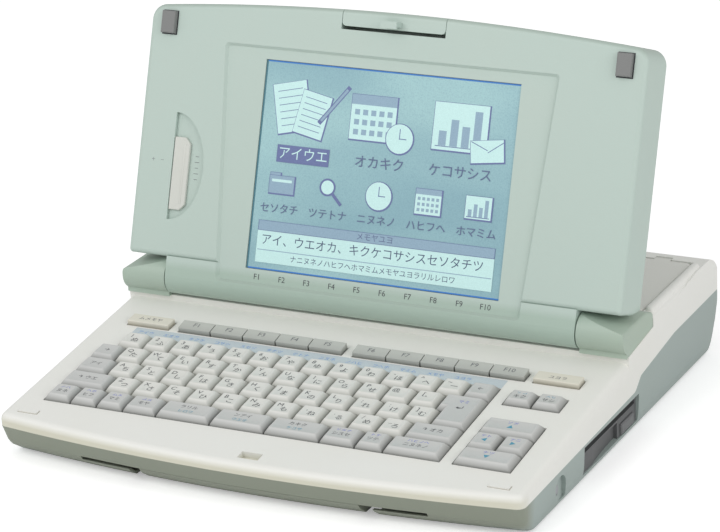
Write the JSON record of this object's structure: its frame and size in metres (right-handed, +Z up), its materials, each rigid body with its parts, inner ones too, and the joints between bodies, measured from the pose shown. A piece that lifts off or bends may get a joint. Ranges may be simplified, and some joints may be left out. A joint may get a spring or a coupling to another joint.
{
  "type": "word processor",
  "caption": "Portable electronic word processor: barrel-hinged display lid, keyboard, disk drive in the side, printer under a rear cover, pull-out handle.",
  "frame": {"origin": "on the surface the machine stands on, under the middle of its case", "axes": "+Z up, +X to the right of the person typing, +Y from the front edge to the rear wall"},
  "size_m": [0.378, 0.365, 0.2586],
  "materials": {
    "case_white": "fine satin grain, edges slightly yellowed",
    "case_green": "fine satin grain, grey-green",
    "lid_mint": "fine satin grain, pale mint",
    "cover_sage": "satin, sage",
    "key_white": "satin key tops",
    "key_grey": "satin key tops, light grey",
    "key_function": "satin, grey",
    "key_cream": "satin, cream",
    "lever_white": "satin, warm white",
    "drive_grey": "satin, dark grey",
    "button_grey": "satin, mid grey",
    "rubber_grey": "matt",
    "rubber_black": "matt",
    "screen_glass": "pale blue liquid crystal behind a matt sheet",
    "module_metal": "dull",
    "module_grey": "satin",
    "steel": "zinc plated",
    "board_green": "solder mask",
    "motor_metal": "dull",
    "gear_white": "natural nylon",
    "ribbon_dark": "satin"
  },
  "bodies": {
    "base": {"lower_case": "case_green", "upper_case": "case_white", "hinge_cover_left": "cover_sage", "hinge_cover_right": "cover_sage", "hinge_brackets": "steel", "keyboard_plate": "steel", "keyboard_circuit": "board_green", "main_board": "board_green", "power_supply_board": "board_green", "floppy_drive": "module_metal", "drive_bezel": "drive_grey", "feet": "rubber_grey", "case_screws": "steel", "power_inlet": "drive_grey", "printer_frame": "steel", "feed_motor": "motor_metal", "carriage_rail": "steel", "carriage_belt": "rubber_black", "carriage_motor": "motor_metal"},
    "lid": {"lid_front": "lid_mint", "lid_back": "lid_mint", "lcd_panel": "module_grey", "lcd_window": "screen_glass", "inverter_board": "board_green", "lid_bumpers": "rubber_grey"},
    "latch": {"lid_latch": "lid_mint"},
    "display_slider": {"display_slider": "lever_white"},
    "keys_number_row": {"keys_number_row": "key_white"},
    "keys_q_row": {"keys_q_row": "key_white"},
    "keys_a_row": {"keys_a_row": "key_white"},
    "keys_z_row": {"keys_z_row": "key_white"},
    "backspace_key": {"backspace_key": "key_grey"},
    "tab_key": {"tab_key": "key_grey"},
    "caps_key": {"caps_key": "key_grey"},
    "shift_left_key": {"shift_left_key": "key_grey"},
    "shift_right_key": {"shift_right_key": "key_grey"},
    "enter_key": {"enter_key": "key_grey"},
    "bottom_left_keys": {"bottom_left_keys": "key_grey"},
    "bottom_wide_keys": {"bottom_wide_keys": "key_grey"},
    "bottom_right_keys": {"bottom_right_keys": "key_grey"},
    "function_keys": {"function_keys": "key_function"},
    "menu_key": {"menu_key": "key_cream"},
    "recall_key": {"recall_key": "key_cream"},
    "arrow_down_key": {"arrow_down_key": "key_white"},
    "arrow_left_key": {"arrow_left_key": "key_white"},
    "arrow_right_key": {"arrow_right_key": "key_white"},
    "arrow_up_key": {"arrow_up_key": "key_white"},
    "insert_key": {"insert_key": "key_white"},
    "delete_key": {"delete_key": "key_white"},
    "eject_button": {"eject_button": "button_grey"},
    "drive_spindle": {"drive_spindle": "steel"},
    "carry_handle": {"carry_handle": "case_green"},
    "power_switch": {"power_switch": "drive_grey"},
    "printer_cover": {"printer_cover": "case_white"},
    "platen": {"platen_roller": "rubber_black", "platen_shaft": "steel", "platen_gear": "gear_white"},
    "feed_pinion": {"motor_pinion": "gear_white"},
    "carriage": {"print_carriage": "ribbon_dark", "ribbon_cassette": "ribbon_dark"}
  },
  "joints": [
    {"name": "lid_hinge", "type": "hinge", "parent": "base", "child": "lid", "pos_m": [0, 0.01262, 0.07012], "axis": [1, 0, 0], "range_deg": [0, 115.6]},
    {"name": "latch_press", "type": "slide", "parent": "lid", "child": "latch", "axis": [0, -0.3289, -0.9444], "range_m": [0, 0.002], "stiffness_N_per_m": 400, "springref_m": -0.002},
    {"name": "display_slide", "type": "slide", "parent": "lid", "child": "display_slider", "axis": [0, 0.3289, 0.9444], "range_m": [0, 0.008]},
    {"name": "number_row_press", "type": "slide", "parent": "base", "child": "keys_number_row", "axis": [0, 0.1115, -0.9938], "range_m": [0, 0.003], "stiffness_N_per_m": 600, "springref_m": -0.002},
    {"name": "q_row_press", "type": "slide", "parent": "base", "child": "keys_q_row", "axis": [0, 0.1115, -0.9938], "range_m": [0, 0.003], "stiffness_N_per_m": 600, "springref_m": -0.002},
    {"name": "a_row_press", "type": "slide", "parent": "base", "child": "keys_a_row", "axis": [0, 0.1115, -0.9938], "range_m": [0, 0.003], "stiffness_N_per_m": 600, "springref_m": -0.002},
    {"name": "z_row_press", "type": "slide", "parent": "base", "child": "keys_z_row", "axis": [0, 0.1115, -0.9938], "range_m": [0, 0.003], "stiffness_N_per_m": 600, "springref_m": -0.002},
    {"name": "backspace_press", "type": "slide", "parent": "base", "child": "backspace_key", "axis": [0, 0.1115, -0.9938], "range_m": [0, 0.003], "stiffness_N_per_m": 250, "springref_m": -0.002},
    {"name": "tab_press", "type": "slide", "parent": "base", "child": "tab_key", "axis": [0, 0.1115, -0.9938], "range_m": [0, 0.003], "stiffness_N_per_m": 250, "springref_m": -0.002},
    {"name": "caps_press", "type": "slide", "parent": "base", "child": "caps_key", "axis": [0, 0.1115, -0.9938], "range_m": [0, 0.003], "stiffness_N_per_m": 250, "springref_m": -0.002},
    {"name": "shift_left_press", "type": "slide", "parent": "base", "child": "shift_left_key", "axis": [0, 0.1115, -0.9938], "range_m": [0, 0.003], "stiffness_N_per_m": 250, "springref_m": -0.002},
    {"name": "shift_right_press", "type": "slide", "parent": "base", "child": "shift_right_key", "axis": [0, 0.1115, -0.9938], "range_m": [0, 0.003], "stiffness_N_per_m": 250, "springref_m": -0.002},
    {"name": "enter_press", "type": "slide", "parent": "base", "child": "enter_key", "axis": [0, 0.1115, -0.9938], "range_m": [0, 0.003], "stiffness_N_per_m": 250, "springref_m": -0.002},
    {"name": "bottom_left_press", "type": "slide", "parent": "base", "child": "bottom_left_keys", "axis": [0, 0.1115, -0.9938], "range_m": [0, 0.003], "stiffness_N_per_m": 600, "springref_m": -0.002},
    {"name": "bottom_wide_press", "type": "slide", "parent": "base", "child": "bottom_wide_keys", "axis": [0, 0.1115, -0.9938], "range_m": [0, 0.003], "stiffness_N_per_m": 600, "springref_m": -0.002},
    {"name": "bottom_right_press", "type": "slide", "parent": "base", "child": "bottom_right_keys", "axis": [0, 0.1115, -0.9938], "range_m": [0, 0.003], "stiffness_N_per_m": 600, "springref_m": -0.002},
    {"name": "function_press", "type": "slide", "parent": "base", "child": "function_keys", "axis": [0, 0.1115, -0.9938], "range_m": [0, 0.003], "stiffness_N_per_m": 600, "springref_m": -0.002},
    {"name": "menu_press", "type": "slide", "parent": "base", "child": "menu_key", "axis": [0, 0.1115, -0.9938], "range_m": [0, 0.003], "stiffness_N_per_m": 250, "springref_m": -0.002},
    {"name": "recall_press", "type": "slide", "parent": "base", "child": "recall_key", "axis": [0, 0.1115, -0.9938], "range_m": [0, 0.003], "stiffness_N_per_m": 250, "springref_m": -0.002},
    {"name": "arrow_down_press", "type": "slide", "parent": "base", "child": "arrow_down_key", "axis": [0, 0.1115, -0.9938], "range_m": [0, 0.003], "stiffness_N_per_m": 250, "springref_m": -0.002},
    {"name": "arrow_left_press", "type": "slide", "parent": "base", "child": "arrow_left_key", "axis": [0, 0.1115, -0.9938], "range_m": [0, 0.003], "stiffness_N_per_m": 250, "springref_m": -0.002},
    {"name": "arrow_right_press", "type": "slide", "parent": "base", "child": "arrow_right_key", "axis": [0, 0.1115, -0.9938], "range_m": [0, 0.003], "stiffness_N_per_m": 250, "springref_m": -0.002},
    {"name": "arrow_up_press", "type": "slide", "parent": "base", "child": "arrow_up_key", "axis": [0, 0.1115, -0.9938], "range_m": [0, 0.003], "stiffness_N_per_m": 250, "springref_m": -0.002},
    {"name": "insert_press", "type": "slide", "parent": "base", "child": "insert_key", "axis": [0, 0.1115, -0.9938], "range_m": [0, 0.003], "stiffness_N_per_m": 250, "springref_m": -0.002},
    {"name": "delete_press", "type": "slide", "parent": "base", "child": "delete_key", "axis": [0, 0.1115, -0.9938], "range_m": [0, 0.003], "stiffness_N_per_m": 250, "springref_m": -0.002},
    {"name": "eject_press", "type": "slide", "parent": "base", "child": "eject_button", "axis": [-1, 0, 0], "range_m": [0, 0.0014], "stiffness_N_per_m": 300, "springref_m": -0.001},
    {"name": "spindle_turn", "type": "hinge", "parent": "base", "child": "drive_spindle", "pos_m": [0.1324, -0.021, 0.016], "axis": [0, 0, 1], "continuous": true},
    {"name": "handle_slide", "type": "slide", "parent": "base", "child": "carry_handle", "axis": [0, -1, 0], "range_m": [0, 0.042]},
    {"name": "power_slide", "type": "slide", "parent": "base", "child": "power_switch", "axis": [0, 1, 0], "range_m": [0, 0.004]},
    {"name": "cover_hinge", "type": "hinge", "parent": "base", "child": "printer_cover", "pos_m": [0, 0.156, 0.0687], "axis": [-1, 0, 0], "range_deg": [0, 70]},
    {"name": "platen_turn", "type": "hinge", "parent": "base", "child": "platen", "pos_m": [0, 0.122, 0.05], "axis": [1, 0, 0], "continuous": true},
    {"name": "feed_turn", "type": "hinge", "parent": "base", "child": "feed_pinion", "pos_m": [0.151, 0.1047, 0.05], "axis": [1, 0, 0], "continuous": true},
    {"name": "carriage_run", "type": "slide", "parent": "base", "child": "carriage", "axis": [1, 0, 0], "range_m": [-0.096, 0.096]}
  ],
  "couplings": [
    {"joint": "feed_turn", "follows": "platen_turn", "ratio": -2.4}
  ]
}
